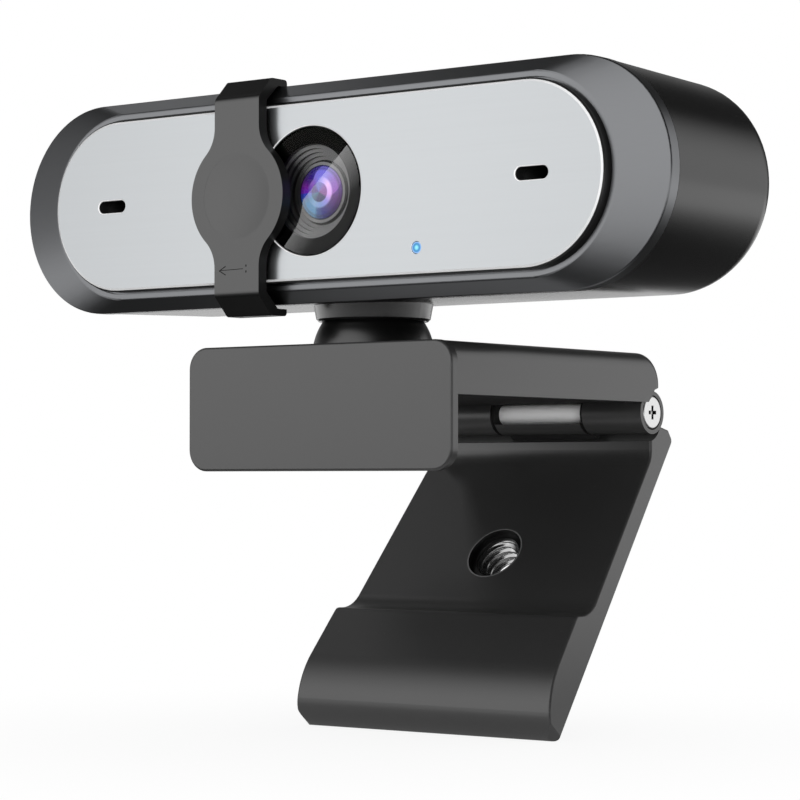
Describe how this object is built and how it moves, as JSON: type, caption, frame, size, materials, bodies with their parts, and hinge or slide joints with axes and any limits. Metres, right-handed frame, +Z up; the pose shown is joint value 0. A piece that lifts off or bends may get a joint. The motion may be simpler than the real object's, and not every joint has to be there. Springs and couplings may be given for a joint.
{
  "type": "webcam with monitor clip",
  "caption": "Wide oval-faced webcam with a brushed face plate, sliding privacy cover, ball neck and folding monitor clip with a tripod thread in its leg.",
  "frame": {"origin": "on the neck's vertical axis, in the face of the pad that rests on a monitor's top edge", "axes": "+X to the right as a viewer faces the lens, +Y from the lens to the back, +Z up"},
  "size_m": [0.11, 0.0622, 0.0899],
  "materials": {
    "shell_black": "satin black moulded shell",
    "bezel_grey": "smooth dark grey, soft sheen",
    "plate_silver": "fine brushed, clear anodised",
    "window_glass": "polished, coated",
    "black_plastic": "matt black",
    "lens_glass": "coated, violet and blue reflections",
    "board_green": "solder mask",
    "chip": "polished die",
    "screw_steel": "plated steel",
    "mic_metal": "drawn can",
    "rubber_black": "matt",
    "led_body": "moulded",
    "led_light": "clear rod, blue when lit",
    "socket_white": "moulded",
    "clip_grey": "fine satin",
    "cover_grey": "fine satin",
    "ball_black": "polished black",
    "hinge_steel": "ground steel",
    "screw_bright": "bright plated",
    "insert_brass": "nickel plated brass"
  },
  "bodies": {
    "clip": {"clip_arm": "clip_grey", "clip_front_plate": "clip_grey", "top_pad": "rubber_black", "lip_pad": "rubber_black", "hinge_pin": "hinge_steel", "hinge_screw": "screw_bright", "hinge_washers": "black_plastic"},
    "leg": {"clip_leg": "clip_grey", "tripod_insert": "insert_brass"},
    "swivel": {"swivel_ball": "ball_black", "swivel_disc": "black_plastic", "swivel_pin": "screw_steel"},
    "head": {"rear_shell": "shell_black", "front_bezel": "bezel_grey", "face_plate": "plate_silver", "lens_window": "window_glass", "lens_baffle": "black_plastic", "focus_housing": "black_plastic", "ir_filter": "lens_glass", "image_sensor": "chip", "main_board": "board_green", "board_screws": "screw_steel", "mic_left": "mic_metal", "mic_right": "mic_metal", "mic_gasket_left": "rubber_black", "mic_gasket_right": "rubber_black", "status_led": "led_body", "light_pipe": "led_light", "cable_socket": "socket_white", "cable_grommet": "rubber_black", "neck_collar": "clip_grey", "collar_screws": "screw_steel", "tilt_stud": "screw_steel", "tilt_dish": "black_plastic", "tilt_spring": "screw_steel", "tilt_nut": "screw_steel"},
    "lens": {"lens_barrel": "black_plastic", "front_lens": "lens_glass", "rear_lens": "lens_glass"},
    "cover": {"privacy_cover": "cover_grey"}
  },
  "joints": [
    {"name": "leg_fold", "type": "hinge", "parent": "clip", "child": "leg", "pos_m": [0, 0.0392, -0.00136], "axis": [1, 0, 0], "range_deg": [-38, 80]},
    {"name": "neck_swivel", "type": "hinge", "parent": "clip", "child": "swivel", "pos_m": [0, 0, 0.0059], "axis": [0, 0, 1], "range_deg": [-180, 180]},
    {"name": "neck_tilt", "type": "hinge", "parent": "swivel", "child": "head", "pos_m": [0, 0, 0.0059], "axis": [-1, 0, 0], "range_deg": [-12, 22]},
    {"name": "cover_slide", "type": "slide", "parent": "head", "child": "cover", "axis": [1, 0, 0], "range_m": [-0.025, 0.047]},
    {"name": "lens_focus", "type": "slide", "parent": "head", "child": "lens", "axis": [0, -1, 0], "range_m": [0, 0.0003], "stiffness_N_per_m": 20}
  ]
}
